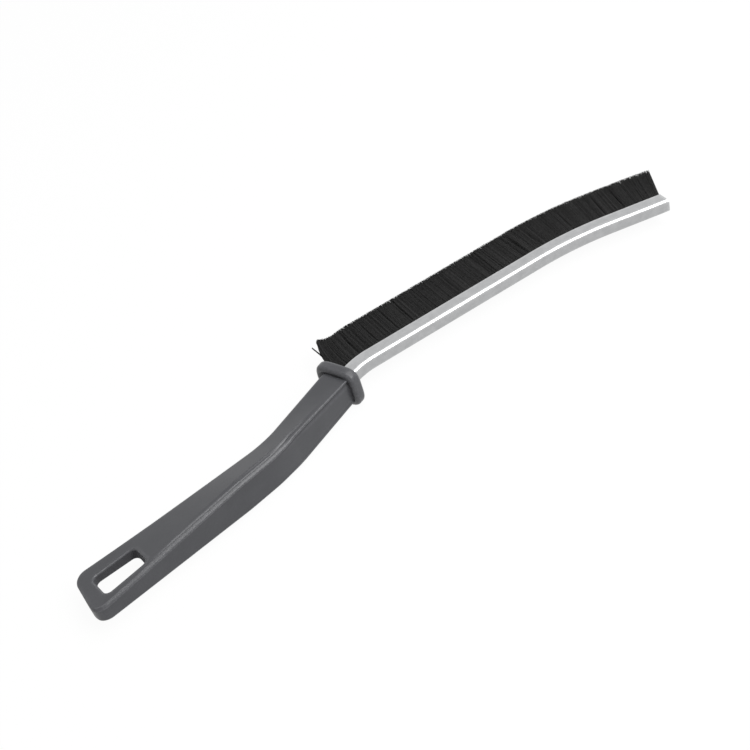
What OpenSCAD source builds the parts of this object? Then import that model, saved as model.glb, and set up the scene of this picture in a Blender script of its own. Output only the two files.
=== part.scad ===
// Crevice brush lying on its side: a long narrow strip brush in a folded metal
// channel, pushed into a moulded plastic handle with a guard collar and a hanging slot.
// +X runs along the straight stretch of the head to the tip, +Y to the bristle tips.
// All sizes are in millimetres, all angles in degrees.

/* [Head line] */
// Length of the straight stretch of the head
head_straight = 81; // [50:1:110]
// Radius of the bend near the tip, at the lips of the channel
tip_bend_r = 150; // [90:5:250]
// Angle of the bend near the tip
tip_bend_angle = 13.5; // [4:0.5:20]
// Length of the straight stretch past the bend
tip_straight = 25; // [12:1:40]
// Angle by which the back of the channel's tip end reaches beyond its lips
tip_slant = 10.5; // [0:0.5:20]
// Radius of the small bend in front of the collar, at the lips of the channel
root_bend_r = 31; // [20:1:60]
// Angle between the head and the collar
root_bend_angle = 18.4; // [6:0.2:26]
// Length of bare channel between that bend and the collar
root_straight = 4.7; // [2:0.1:12]
// Depth of the channel in the handle
tail_depth = 16; // [8:1:24]

/* [Channel] */
// Outside width of the folded channel
channel_w = 5.9; // [5:0.1:8]
// Outside height of the folded channel
channel_h = 6.1; // [5:0.1:8]
// Thickness of the metal strip
channel_wall = 0.5; // [0.3:0.05:0.8]
// Outside radius of the two folds
channel_fold_r = 1.3; // [0.9:0.1:2]

/* [Core wire] */
// Diameter of the wire that the filaments are folded over
wire_d = 1.6; // [1:0.1:2]

/* [Bristles] */
// Height of the trimmed bristles over the straight stretch of the lips
bristle_h = 19.3; // [10:0.1:26]
// Height of the trimmed bristles over the lips at the tip
tip_bristle_h = 18.6; // [10:0.1:26]
// Depth of the backing's top below the lips
backing_drop = 0.4; // [0.2:0.1:1]
// Rows of strands in one section
section_rows = 14; // [8:1:16]
// Strands across the channel
strands_across = 4; // [3:1:5]
// Gap between neighbouring strands at the root
strand_gap = 0.4; // [0.3:0.05:0.6]
// Forward lean of the last strands at the tip, past square
tip_flare = 10; // [0:1:14]
// Length over which the strands at the tip take up that lean
tip_flare_len = 14; // [8:1:24]
// Most that a strand's end strays from the trimmed line
trim_stray = 0.35; // [0:0.05:0.5]
// Extra height of the first strands, in front of the collar
tuft_rise = 1.3; // [0:0.1:3]
// Length over which the strands come down from that to the trimmed line
tuft_len = 6; // [3:0.5:12]

/* [Handle] */
// Length of the butt stretch, from its end to the elbow
butt_len = 77; // [60:1:100]
// Angle between the butt stretch and the head
butt_angle = 7.8; // [0:0.2:14]
// Radius of the elbow's centre line
elbow_r = 60; // [40:5:120]
// Angle between the neck and the head
neck_angle = 23.1; // [18:0.1:30]
// Length of the neck, from the elbow to the collar
neck_len = 31.1; // [24:0.1:60]
// Width of the handle at its butt end
butt_w = 23.8; // [20:0.1:28]
// Width of the handle at its waist
waist_w = 12.3; // [9.5:0.1:15]
// Distance of the waist from the butt end
waist_at = 92; // [75:1:100]
// Sideways shift of the waist towards the plain edge
waist_shift = 0.65; // [0:0.05:1.5]
// Width of the neck at the collar
neck_w = 12.3; // [12:0.1:16]
// Thickness of the butt end at the spine
butt_t = 6.9; // [5.5:0.1:10]
// Thickness of the handle's middle at the spine
mid_t = 14.2; // [11:0.1:15]
// Distance from the butt end at which the full thickness is reached
mid_at = 66; // [50:1:75]
// Thickness of the butt end at the plain edge
butt_edge_t = 2.7; // [2.2:0.1:6]
// Power by which the plain edge thickens to the neck, 1 for an even taper
edge_growth = 1.4; // [1:0.1:2]
// Thickness of the neck at the collar
neck_t = 12; // [11:0.1:14]
// Radius of the butt's corners, seen from above
butt_corner_r = 5.4; // [3:0.1:7]
// Radius of the handle's plain edges
edge_r = 1.5; // [0.8:0.1:2.2]
// Radius of the bead along each spine edge
bead_r = 1.2; // [0.9:0.1:2.2]
// Depth of the grooves beside the bead
groove_depth = 0.4; // [0.1:0.05:0.6]
// Height of the crown on the broad faces at the elbow
crown_rise = 0.9; // [0:0.1:1.2]
// Radius of the butt end's rim, seen from the side
end_round = 1.2; // [0.5:0.1:2]
// Slant of the butt end, which reaches further out along the spine
end_slant = 7.2; // [0:0.2:10]
// Length over which that slant fades out
slant_len = 26; // [20:1:40]

/* [Collar] */
// Width of the guard collar
collar_w = 19.2; // [17:0.1:28]
// Thickness of the guard collar
collar_t = 17.2; // [15:0.1:21]
// Length of the guard collar along the neck
collar_len = 5.1; // [4.2:0.1:8]
// Rounding of the collar's rim
collar_round = 1.5; // [1:0.1:2.1]
// Squareness of the collar's outline, 2 for an ellipse
collar_power = 4.2; // [2.4:0.1:5]
// Sideways shift of the collar towards the plain edge
collar_shift = 0.8; // [0:0.1:2]
// Sideways offset of the channel from the neck's centre line at the collar
seat_offset = 0.35; // [0:0.05:1]

/* [Hanging slot] */
// Length of the hanging slot
slot_len = 17.8; // [12:0.2:24]
// Width of the slot at its butt end
slot_w_butt = 11.4; // [7:0.1:12]
// Width of the slot at its far end
slot_w_far = 10.7; // [5:0.1:12]
// Radius of the slot's corners
slot_r = 2.3; // [1:0.1:2.4]
// Distance of the slot from the butt end
slot_margin = 6.1; // [5:0.1:12]
// Sideways offset of the slot from the handle's centre line
slot_offset = 0.95; // [0:0.05:2]

/* [Fits] */
// Clearance round the channel in the handle's socket
socket_clear = 0.12; // [0.05:0.01:0.3]
// Clearance round the wire and the backing in the channel
channel_clear = 0.05; // [0.02:0.01:0.15]

/* [Hidden] */
$fn = 64;
section_count = 7;
plastic_grey = [0.33, 0.33, 0.35];
strip_silver = [0.78, 0.79, 0.80];
wire_grey = [0.62, 0.62, 0.64];
filament_black = [0.09, 0.09, 0.095];
overshoot = 1;

// Unit vectors along and square to a direction in the plane of the brush
function along(a) = [cos(a), sin(a)];
function square_to(a) = [-sin(a), cos(a)];
function clamp01(v) = max(0, min(1, v));
function mix(a, b, t) = a + (b - a) * t;
function arc_len(r, a) = r * a * PI / 180;

// The head line is the line of the channel's lips. Its length is counted from
// the point where the straight stretch starts, and is negative towards the handle.
root_len = arc_len(root_bend_r, root_bend_angle);
bend_len = arc_len(tip_bend_r, tip_bend_angle);
bend_end = head_straight + bend_len;
tip_end = bend_end + tip_straight;
collar_at = -root_len - root_straight;

root_centre = [0, -root_bend_r];
root_start = root_centre + root_bend_r * square_to(root_bend_angle);
bend_centre = [head_straight, -tip_bend_r];
bend_stop = bend_centre + tip_bend_r * square_to(-tip_bend_angle);

// Direction of the head line at length s
function head_angle(s) =
    s < -root_len ? root_bend_angle :
    s < 0 ? -s / root_len * root_bend_angle :
    s < head_straight ? 0 :
    s < bend_end ? -(s - head_straight) / bend_len * tip_bend_angle :
    -tip_bend_angle;

// Point of the head line at length s
function head_point(s) =
    s < -root_len ? root_start + (s + root_len) * along(root_bend_angle) :
    s < 0 ? root_centre + root_bend_r * square_to(head_angle(s)) :
    s < head_straight ? [s, 0] :
    s < bend_end ? bend_centre + tip_bend_r * square_to(head_angle(s)) :
    bend_stop + (s - bend_end) * along(-tip_bend_angle);

// Point at height h over the lips and z across the channel
function head_place(s, h, z) =
    let (p = head_point(s) + h * square_to(head_angle(s))) [p.x, p.y, z];

// Handle centre line, counted from the butt end. It ends at the collar's front face,
// beside the line through the middle of the channel's height.
collar_front = head_point(collar_at) + (seat_offset - channel_h / 2) * square_to(root_bend_angle);
collar_back = collar_front - collar_len * along(neck_angle);
elbow_angle = neck_angle - butt_angle;
elbow_len = arc_len(elbow_r, elbow_angle);
neck_start = collar_back - neck_len * along(neck_angle);
elbow_centre = neck_start + elbow_r * square_to(neck_angle);
butt_stop = elbow_centre - elbow_r * square_to(butt_angle);
neck_from = butt_len + elbow_len;
handle_len = neck_from + neck_len;

function grip_angle(s) =
    s < butt_len ? butt_angle :
    s < neck_from ? butt_angle + (s - butt_len) / elbow_len * elbow_angle :
    neck_angle;

function grip_point(s) =
    s < butt_len ? butt_stop + (s - butt_len) * along(butt_angle) :
    s < neck_from ? elbow_centre - elbow_r * square_to(grip_angle(s)) :
    neck_start + (s - neck_from) * along(neck_angle);

// Inset of a rounded corner of radius r at distance s from its end
function round_in(s, r) = s >= r ? 0 : r - sqrt(r * r - (r - s) * (r - s));

function grip_width(s) =
    (s < waist_at ? mix(butt_w, waist_w, s / waist_at)
                  : mix(waist_w, neck_w, clamp01((s - waist_at) / (handle_len - waist_at))))
    - 2 * round_in(s, butt_corner_r);

// Sideways place of the cross-section's middle
function grip_shift(s) =
    waist_shift * clamp01(s < waist_at ? s / waist_at : (handle_len - s) / (handle_len - waist_at));

// Share of the thickness that the rounded butt end leaves
function end_share(s) = 1 - 2 * round_in(s, end_round) / butt_t;

// Thickness at the spine and at the plain edge, so the butt is a wedge
function grip_thick(s) =
    (s < mid_at ? mix(butt_t, mid_t, s / mid_at)
                : mix(mid_t, neck_t, clamp01((s - waist_at) / (handle_len - waist_at))))
    * end_share(s);
function edge_thick(s) =
    mix(butt_edge_t, neck_t, pow(clamp01(s / handle_len), edge_growth)) * end_share(s);

// The grooves beside the bead rise from the butt end and fade out in the neck
groove_rise = 10;
groove_fade = 20;
neck_groove = 0.45;
function groove_share(s) =
    clamp01(s / groove_rise) * mix(1, neck_groove, clamp01((s - waist_at) / groove_fade));

// The crown on the broad faces swells towards the elbow and fades out in the neck
crown_from = 38;
crown_grow = 38;
crown_to = 113;
crown_fade = 19;
function crown_height(s) =
    crown_rise * clamp01(min((s - crown_from) / crown_grow, (crown_to - s) / crown_fade));

// Half of the handle's cross-section, from the plain edge over the broad face and
// the bead to the spine: [y, z] with y across the handle and z through its thickness.
// The broad face falls evenly from the crown's crest to the plain edge, c is the crown's
// height over the even line from the bead to that edge. The land is what the two
// roundings always leave of the half thickness. The upper groove lies a share of the
// bead's radius from its middle, the lower one a share below.
edge_shares = [0, 0.35, 0.7, 1];
bead_turns = [62, 90, 120, 150, 180];
land = 0.6;
crest_from_bead = 2.6;
upper_groove_at = 0.95;
lower_groove_at = 0.5;
least_spine = 0.1;
spine_dip = 0.5;
function half_section(w, t, edge_t, g, c) =
    let (
        e = min(edge_r, edge_t / 2 - land),
        b = min(bead_r, t / 2 - land, w / 4),
        bead_y = -w / 2 + b,
        bead_z = t / 2 - b,
        fall = atan((t - edge_t) / 2 / (w - e - b)),
        crest_y = min(bead_y + b + crest_from_bead, w / 4)
    )
    concat(
        [[w / 2, 0]],
        [for (k = edge_shares)
            let (a = k * (90 - fall)) [w / 2 - e + e * cos(a), edge_t / 2 - e + e * sin(a)]],
        [[crest_y, t / 2 - (crest_y - bead_y) * tan(fall) + c]],
        [[bead_y + b * upper_groove_at, t / 2 - g]],
        [for (a = bead_turns) [bead_y + b * cos(a), bead_z + b * sin(a)]],
        [[-w / 2 + g, max(bead_z - b * lower_groove_at, t * least_spine)]],
        [[-w / 2 + g * spine_dip, 0]]
    );

// Whole cross-section: the half and its mirror image, without doubling the ends
function whole_section(h) =
    let (n = len(h))
    concat(h, [for (i = [n - 2 : -1 : 1]) [h[i].x, -h[i].y]]);

// Ring of points at length s of the handle's centre line. The butt end's rings are slanted.
function grip_ring(s, shape) =
    let (slant = tan(end_slant) * clamp01(1 - s / slant_len), a = grip_angle(s))
    [for (v = shape)
        let (p = grip_point(s) + v.x * square_to(a) + v.x * slant * along(a)) [p.x, p.y, v.y]];

function body_shape(s) =
    let (
        half = half_section(
            grip_width(s), grip_thick(s), edge_thick(s), groove_depth * groove_share(s),
            crown_height(s)),
        moved = [for (v = half) [v.x + grip_shift(s), v.y]]
    )
    whole_section(moved);

// Collar outline: a superellipse met at the same turns as the neck's outline
neck_shape = body_shape(handle_len - 0.01);
function collar_reach(a, w, t) =
    pow(pow(abs(cos(a)) / (w / 2), collar_power) + pow(abs(sin(a)) / (t / 2), collar_power),
        -1 / collar_power);
function collar_shape(inset) =
    [for (v = neck_shape)
        let (a = atan2(v.y, v.x), r = collar_reach(a, collar_w - 2 * inset, collar_t - 2 * inset))
        [r * cos(a) + collar_shift, r * sin(a)]];

// Stations along the handle: close together in the rounded end, then evenly spaced
butt_steps = [0, 0.05, 0.15, 0.3, 0.5, 0.75];
grip_step = 3.6;
grip_spans = ceil((handle_len - butt_corner_r) / grip_step);
grip_stations = concat(
    [for (share = butt_steps) share * butt_corner_r],
    [for (i = [0 : grip_spans - 1])
        mix(butt_corner_r, handle_len, i / grip_spans)]
);
rim_turns = [0, 30, 60, 90];
rim_stations = concat(
    [for (a = rim_turns) [collar_round * (1 - cos(a)), collar_round * (1 - sin(a))]],
    [for (a = rim_turns) [collar_len - collar_round * (1 - sin(a)), collar_round * (1 - cos(a))]]
);
junction_gap = 0.15;
handle_rings = concat(
    [for (s = grip_stations) grip_ring(s, body_shape(s))],
    [grip_ring(handle_len, neck_shape)],
    [for (r = rim_stations)
        grip_ring(handle_len + junction_gap + r.x * (1 - junction_gap / collar_len),
                  collar_shape(r.y))]
);

// Skin over rings of equal point counts, with a flat cap at each end
module loft(rings) {
    n = len(rings[0]);
    m = len(rings);
    points = [for (ring = rings) for (p = ring) p];
    sides = [
        for (i = [0 : m - 2]) for (j = [0 : n - 1])
            let (a = i * n + j, b = i * n + (j + 1) % n)
            each [[a, a + n, b], [b, a + n, b + n]]
    ];
    start_cap = [for (j = [1 : n - 2]) [0, j, j + 1]];
    last = (m - 1) * n;
    end_cap = [for (j = [1 : n - 2]) [last, last + j + 1, last + j]];
    polyhedron(points, concat(sides, start_cap, end_cap), convexity = 6);
}

// Hanging slot outline: four round corners joined by a straight-sided frame
slot_corners = [
    [slot_r, slot_w_butt / 2 - slot_r],
    [slot_len - slot_r, slot_w_far / 2 - slot_r],
    [slot_len - slot_r, slot_r - slot_w_far / 2],
    [slot_r, slot_r - slot_w_butt / 2]
];
slot_side_turn = atan((slot_w_butt - slot_w_far) / 2 / (slot_len - 2 * slot_r));
module slot_outline() {
    for (c = slot_corners) translate(c) circle(slot_r);
    polygon([
        slot_corners[0] + slot_r * square_to(-slot_side_turn),
        slot_corners[1] + slot_r * square_to(-slot_side_turn),
        slot_corners[1] + [slot_r, 0],
        slot_corners[2] + [slot_r, 0],
        slot_corners[2] - slot_r * square_to(slot_side_turn),
        slot_corners[3] - slot_r * square_to(slot_side_turn),
        slot_corners[3] - [slot_r, 0],
        slot_corners[0] - [slot_r, 0]
    ]);
}

module hanging_slot() {
    start = grip_point(slot_margin) - slot_offset * square_to(butt_angle);
    translate([start.x, start.y, -mid_t])
        rotate([0, 0, butt_angle])
            linear_extrude(2 * mid_t) slot_outline();
}

// Stations of a sweep along the head line, closer together in the two bends
root_turns = 6;
bend_turns = 12;
tail_start = collar_at - tail_depth;
head_stations = concat(
    [tail_start, collar_at],
    [for (i = [0 : root_turns]) mix(-root_len, 0, i / root_turns)],
    [for (i = [0 : bend_turns]) mix(head_straight, bend_end, i / bend_turns)],
    [tip_end]
);
function swept(profile, stations) =
    [for (s = stations)
        let (lean = s == tip_end ? tan(tip_slant) : 0)
        [for (v = profile) head_place(s - v.x * lean, v.x, v.y)]];

// Channel profile as [height over the lips, place across]: one side of the strip from
// lip to lip round the two folds. The inside is the same line set in by the wall.
fold_turns = [90, 120, 150, 180];
function folded_line(w, h, r) = concat(
    [[0, w / 2]],
    [for (a = fold_turns) [-h + r + r * cos(a), w / 2 - r + r * sin(a)]],
    [for (a = fold_turns) [-h + r + r * cos(a + 90), r - w / 2 + r * sin(a + 90)]],
    [[0, -w / 2]]
);
inner_w = channel_w - 2 * channel_wall;
outer_line = folded_line(channel_w, channel_h, channel_fold_r);
inner_line = folded_line(inner_w, channel_h - channel_wall, channel_fold_r - channel_wall);

// Skin over rings made of an outer and an inner line of equal point counts, with each
// end closed by the strip between the two lines
module open_loft(outer_rings, inner_rings) {
    n = len(outer_rings[0]);
    m = len(outer_rings);
    points = [
        for (i = [0 : m - 1])
            each concat(outer_rings[i], [for (j = [n - 1 : -1 : 0]) inner_rings[i][j]])
    ];
    sides = [
        for (i = [0 : m - 2]) for (j = [0 : 2 * n - 1])
            let (a = i * 2 * n + j, b = i * 2 * n + (j + 1) % (2 * n))
            each [[a, a + 2 * n, b], [b, a + 2 * n, b + 2 * n]]
    ];
    last = (m - 1) * 2 * n;
    mirror_of = [for (j = [0 : n - 1]) 2 * n - 1 - j];
    caps = [
        for (j = [0 : n - 2])
            let (p = mirror_of[j], q = mirror_of[j + 1])
            each [
                [j, j + 1, p], [j + 1, q, p],
                [last + j, last + p, last + j + 1], [last + j + 1, last + p, last + q]
            ]
    ];
    polyhedron(points, concat(sides, caps), convexity = 8);
}

// The core wire lies on the floor of the channel
wire_sides = 16;
wire_height = -channel_h + channel_wall + channel_clear + wire_d / 2;
wire_profile = [
    for (i = [0 : wire_sides - 1])
        let (a = i * 360 / wire_sides)
        [wire_height + wire_d / 2 * cos(a), wire_d / 2 * sin(a)]
];

// Bristle field: rows of strands from the collar to the tip of the channel
field_from_collar = 0.5;
field_from_tip = 0.4;
field_start = collar_at + field_from_collar;
field_end = tip_end - field_from_tip;
row_pitch = (field_end - field_start) / (section_count * section_rows);
backing_w = inner_w - 2 * channel_clear;
backing_floor = wire_height + wire_d / 2 + channel_clear;
strand_pitch = backing_w / strands_across;

// Direction of a strand from +Y towards +X at length s of the head line
function strand_lean(s) =
    s < 0 ? 0 : -head_angle(s) + tip_flare * pow(clamp01(1 - (field_end - s) / tip_flare_len), 2);

// Small steady wander of a strand's end, different for each row and column, from -1 to 1
row_turn = 97;
column_turn = 131;
swing_turn = 41;
swing = 40;
function wander(i, j) = sin(i * row_turn + j * column_turn + swing * sin(i * swing_turn));

// Root and tip of the strand in one row and column of the field, four corners each
half_s = (row_pitch - strand_gap) / 2;
half_z = (strand_pitch - strand_gap) / 2;
function row_middle(i) = field_start + (i + 0.5) * row_pitch;
function column_middle(j) = -backing_w / 2 + (j + 0.5) * strand_pitch;

function strand_root(i, j) =
    [for (c = [[-1, -1], [1, -1], [1, 1], [-1, 1]])
        head_place(row_middle(i) + c.x * half_s, -backing_drop, column_middle(j) + c.y * half_z)];

// The bristles are trimmed level over the small bend, stand up in a tuft in front of
// the collar, and are lower towards the tip
function trim_height(s) =
    s < 0 ? bristle_h - head_point(s).y + tuft_rise * clamp01(1 - (s - field_start) / tuft_len) :
    mix(bristle_h, tip_bristle_h, clamp01((s - head_straight) / (tip_end - head_straight)));

function strand_tip(i, j) =
    let (
        lean = strand_lean(row_middle(i)),
        reach = trim_height(row_middle(i)) + backing_drop + trim_stray * wander(i, j)
    )
    [for (p = strand_root(i, j)) p + reach * [sin(lean), cos(lean), 0]];

// One section of the field as a single closed skin: the backing's top is a grid of
// cells, and each cell holds the root of one strand
module bristle_section(number) {
    rows = section_rows;
    cols = strands_across;
    first_row = (number - 1) * rows;
    s0 = field_start + first_row * row_pitch;
    grid = [
        for (i = [0 : rows]) for (j = [0 : cols])
            head_place(s0 + i * row_pitch, -backing_drop, -backing_w / 2 + j * strand_pitch)
    ];
    strands = [
        for (i = [first_row : first_row + rows - 1]) for (j = [0 : cols - 1])
            each concat(strand_root(i, j), strand_tip(i, j))
    ];
    floor_line = [
        for (i = [0 : rows]) for (side = [-1, 1])
            head_place(s0 + i * row_pitch, backing_floor, side * backing_w / 2)
    ];
    strand_base = len(grid);
    floor_base = strand_base + len(strands);
    corner_steps = [[0, 0], [1, 0], [1, 1], [0, 1]];
    cells = [
        for (i = [0 : rows - 1]) for (j = [0 : cols - 1])
            let (
                r = strand_base + 8 * (i * cols + j),
                c = [for (q = corner_steps) (i + q.x) * (cols + 1) + j + q.y]
            )
            each concat(
                [for (k = [0 : 3]) each [
                    [c[k], c[(k + 1) % 4], r + k],
                    [c[(k + 1) % 4], r + (k + 1) % 4, r + k],
                    [r + k, r + (k + 1) % 4, r + 4 + k],
                    [r + (k + 1) % 4, r + 4 + (k + 1) % 4, r + 4 + k]
                ]],
                [[r + 4, r + 5, r + 6], [r + 4, r + 6, r + 7]]
            )
    ];
    walls = [
        for (i = [0 : rows - 1])
            let (
                near = i * (cols + 1),
                next = near + cols + 1,
                f = floor_base + 2 * i
            )
            each [
                [near, f, next], [next, f, f + 2],
                [near + cols, next + cols, f + 1], [next + cols, f + 3, f + 1],
                [f, f + 1, f + 2], [f + 1, f + 3, f + 2]
            ]
    ];
    last = rows * (cols + 1);
    last_floor = floor_base + 2 * rows;
    ends = concat(
        [for (j = [0 : cols - 1]) [j, j + 1, floor_base]],
        [[cols, floor_base + 1, floor_base]],
        [for (j = [0 : cols - 1]) [last + j, last_floor, last + j + 1]],
        [[last + cols, last_floor, last_floor + 1]]
    );
    color(filament_black)
        polyhedron(concat(grid, strands, floor_line), concat(cells, walls, ends), convexity = 10);
}

// Place in the part's own frame: the middle of the outline's box, on the lowest face
handle_points = [for (ring = handle_rings) each ring];
tip_points = [
    for (i = [0 : section_count * section_rows - 1]) for (j = [0 : strands_across - 1])
        each strand_tip(i, j)
];
x_low = min([for (p = handle_points) p.x]);
x_high = max([for (p = tip_points) p.x]);
y_low = min([for (p = handle_points) p.y]);
y_high = max([for (p = tip_points) p.y]);
z_low = min([for (p = handle_points) p.z]);
module place() {
    translate([-(x_low + x_high) / 2, -(y_low + y_high) / 2, -z_low]) children();
}

// Socket for the channel's tail: the channel's outside with its clearance
module tail_socket() {
    depth = tail_depth + socket_clear;
    w = channel_w + 2 * socket_clear;
    h = channel_h + 2 * socket_clear;
    r = channel_fold_r + socket_clear;
    start = head_point(collar_at - depth) + socket_clear * square_to(root_bend_angle);
    translate([start.x, start.y, 0])
        rotate([0, 0, root_bend_angle])
            rotate([90, 0, 90])
                linear_extrude(depth + overshoot)
                    polygon(folded_line(w, h, r));
}

module handle() {
    color(plastic_grey) place() difference() {
        loft(handle_rings);
        hanging_slot();
        tail_socket();
    }
}

module channel() {
    color(strip_silver) place()
        open_loft(swept(outer_line, head_stations), swept(inner_line, head_stations));
}

module core_wire() {
    color(wire_grey) place() loft(swept(wire_profile, head_stations));
}

handle();
channel();
core_wire();
place() bristle_section(1);  // bristles_1
place() bristle_section(2);  // bristles_2
place() bristle_section(3);  // bristles_3
place() bristle_section(4);  // bristles_4
place() bristle_section(5);  // bristles_5
place() bristle_section(6);  // bristles_6
place() bristle_section(7);  // bristles_7
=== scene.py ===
"""A crevice brush lying on its side on a pale floor: a dark grey moulded handle, a folded strip of
bright steel and a long row of black filaments.

Every shape is worked out in millimetres in the plane of the brush, with zero where the straight
stretch of the head starts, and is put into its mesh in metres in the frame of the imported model."""

import bpy
import numpy as np
from mathutils import Matrix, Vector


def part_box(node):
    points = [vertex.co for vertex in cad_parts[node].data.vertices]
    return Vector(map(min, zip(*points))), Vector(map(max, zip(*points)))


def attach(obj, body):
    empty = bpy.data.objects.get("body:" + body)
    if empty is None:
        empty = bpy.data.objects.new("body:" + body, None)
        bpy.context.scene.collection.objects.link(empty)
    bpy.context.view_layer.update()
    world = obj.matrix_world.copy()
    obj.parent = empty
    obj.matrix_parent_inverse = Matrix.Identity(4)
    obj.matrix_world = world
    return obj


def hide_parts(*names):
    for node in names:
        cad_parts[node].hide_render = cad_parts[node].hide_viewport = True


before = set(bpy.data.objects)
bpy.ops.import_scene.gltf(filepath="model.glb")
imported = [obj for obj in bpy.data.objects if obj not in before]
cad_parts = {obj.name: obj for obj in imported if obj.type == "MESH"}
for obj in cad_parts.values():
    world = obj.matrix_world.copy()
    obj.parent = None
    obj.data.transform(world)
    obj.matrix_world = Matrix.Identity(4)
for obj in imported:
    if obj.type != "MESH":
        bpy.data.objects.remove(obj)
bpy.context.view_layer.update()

MM = 0.001

# Head line, along the lips of the channel: lengths in millimetres, angles in degrees
HEAD_STRAIGHT = 81.0
TIP_BEND_R = 150.0
TIP_BEND_ANGLE = 13.5
TIP_STRAIGHT = 25.0
ROOT_BEND_R = 31.0
ROOT_BEND_ANGLE = 18.4
ROOT_STRAIGHT = 4.7
TAIL_DEPTH = 16.0
ROOT_LEN = ROOT_BEND_R * np.radians(ROOT_BEND_ANGLE)
BEND_END = HEAD_STRAIGHT + TIP_BEND_R * np.radians(TIP_BEND_ANGLE)
TIP_END = BEND_END + TIP_STRAIGHT
COLLAR_AT = -ROOT_LEN - ROOT_STRAIGHT

# Folded channel
CHANNEL_W = 5.9
CHANNEL_H = 6.1
CHANNEL_WALL = 0.5
CHANNEL_FOLD_R = 1.3
SOCKET_CLEAR = 0.12
SOCKET_OVER = 1.0
END_NOTCH = 0.5
END_NOTCH_UP = 1.0
END_NOTCH_ASIDE = 2.5
END_NOTCH_SPREAD = 0.3
END_LEAN = 0.185
END_STRETCH = 4.0
CHANNEL_CREASE_ANGLE = 40.0
# curvature radius for the marks: wear with a painted highlight on folds, painted shade in hollows
CHANNEL_CURVE_R = 0.8

# Handle: stations are lengths from the butt end
BUTT_LEN = 77.0
BUTT_ANGLE = 7.8
ELBOW_R = 60.0
NECK_ANGLE = 23.1
NECK_LEN = 31.1
BUTT_W = 23.8
WAIST_W = 12.3
WAIST_AT = 92.0
WAIST_SHIFT = 0.65
NECK_W = 12.3
BUTT_T = 6.9
MID_T = 14.2
MID_AT = 66.0
BUTT_EDGE_T = 2.7
EDGE_GROWTH = 1.4
NECK_T = 12.0
BUTT_CORNER_R = 5.4
END_ROUND = 1.2
END_SLANT = 7.2
SLANT_LEN = 26.0
EDGE_R = 1.5
EDGE_SHARE = 0.7
BEAD_R = 1.15
BEAD_POWER = 1.4
LAND = 0.6
NECK_FROM = BUTT_LEN + ELBOW_R * np.radians(NECK_ANGLE - BUTT_ANGLE)
HANDLE_LEN = NECK_FROM + NECK_LEN
HANDLE_CREASE_ANGLE = 38.0
# curvature radius for the marks: wear with a painted highlight on edges, painted shade in hollows
HANDLE_CURVE_R = 1.6

# Groove, crown, neck corner and crease of the handle, with the stations between which each one
# grows or fades
GROOVE_DEPTH = 0.5
GROOVE_WIDTH = 0.75
GROOVE_POWER = 2.2
GROOVE_GROWS = (18.0, 40.0)
CROWN_RISE = 0.6
CROWN_WIDTH = 1.1
CROWN_GROWS = (38.0, 76.0)
CROWN_FADES = (94.0, 113.0)
CREST_BLEND = 0.5
CREST_STATIONS = (43.0, 80.0, 93.0, 109.0)
CREST_FROM_SPINE = (4.5, 4.1, 2.8, 2.5)
CORNER_W = 0.6
CORNER_GROWS = (84.0, 94.0)
CREASE_DEPTH = 0.08
CREASE_GROWS = (24.0, 60.0)
NECK_CREASE_DEPTH = 0.6
NECK_CREASE_GROWS = (80.0, 108.0)
CREASE_WIDTH = 0.42
CREASE_GROWTH = 0.9
CREASE_WIDENS = (86.0, 116.0)
CREASE_DROP = 0.15
CREASE_SINK = 0.6
UNDER_CREASE = 0.15
SPINE_DIP = 0.16
DIP_GROWS = (20.0, 60.0)

# Powers that draw the outline's points closer together beside the groove and the crease
TOWARDS_GROOVE = 1.7
TOWARDS_CREASE = 1.6

# Guard collar
COLLAR_W = 19.2
COLLAR_T = 17.2
COLLAR_LEN = 5.1
COLLAR_ROUND = 1.7
COLLAR_POWER = 4.2
COLLAR_SHIFT = 0.8
SEAT_OFFSET = 0.35
NECK_TO_COLLAR = ((0.04, 0.3), (0.25, 0.5), (0.55, 0.4), (0.8, 0.15))

# Hanging slot
SLOT_LEN = 17.8
SLOT_W_BUTT = 11.4
SLOT_W_FAR = 10.7
SLOT_R = 2.3
SLOT_MARGIN = 6.1
SLOT_OFFSET = 0.95
SLOT_RIM_R = 0.9
SLOT_RIM_TURN = 74.0
SLOT_RIM_OVER = 0.1
SLOT_WALL_SHARE = 0.85

# Bristles
BRISTLE_H = 19.3
TIP_BRISTLE_H = 19.2
SECTIONS = 7
ROWS = 106
COLUMNS = 20
FIELD_START = COLLAR_AT + 0.5
FIELD_END = TIP_END - 0.15
FIELD_LEN = FIELD_END - FIELD_START
PACK_W = 4.75
ROOT_DEPTH = 3.6
FILAMENT_R = 0.125
RADIUS_SHARES = (0.85, 1.1)
TIP_THINS = 0.25
RINGS = 7
IN_CELL = (0.1, 0.9)
SEED = 41

# How the filaments stand: lengths along the field, distances aside and the shares of them
TIP_FLARE = 14.0
TIP_FLARE_LEN = 16.0
ROOT_BULGE = 0.45
UPRIGHT_AT = 15.0
TUFT_RISE = 1.5
TUFT_LEN = 4.5
TUFT_CORNER = 1.3
TUFT_CORNER_LEN = 0.9
DIP_DEPTH = 0.8
DIP_AT = 8.0
DIP_LEN = 4.0
DRIFT = 0.10
DRIFT_WAVES = (2.3, 3.7, 6.1, 11.0)
ASIDE = 0.08
ASIDE_WAVES = (2.9, 5.3, 9.7, 17.0)
TRIM_WAVE = 0.06
TRIM_WAVES = (1.7, 4.1, 7.9)
OWN_DRIFT = 0.05
OWN_ASIDE = 0.04
UNEVEN = 0.04
SPREAD = 0.05
SWAY_POWER = 1.5
PARTINGS = (-2.0, 2.5, 7.0, 12.5, 17.0, 24.0, 47.0, 81.0, 87.5, 103.0, 118.0, 126.5)
PARTING_SLANT = 0.25
PARTING_DEPTH = 4.0
PARTING_WIDTHS = (0.3, 0.5)
PARTING_SHARES = (0.5, 1.0)
STRAY_ROWS = 2
STRAY_AT = 0.3
STRAY_HALF_W = 0.45
STRAY_REACH = 0.75
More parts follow.
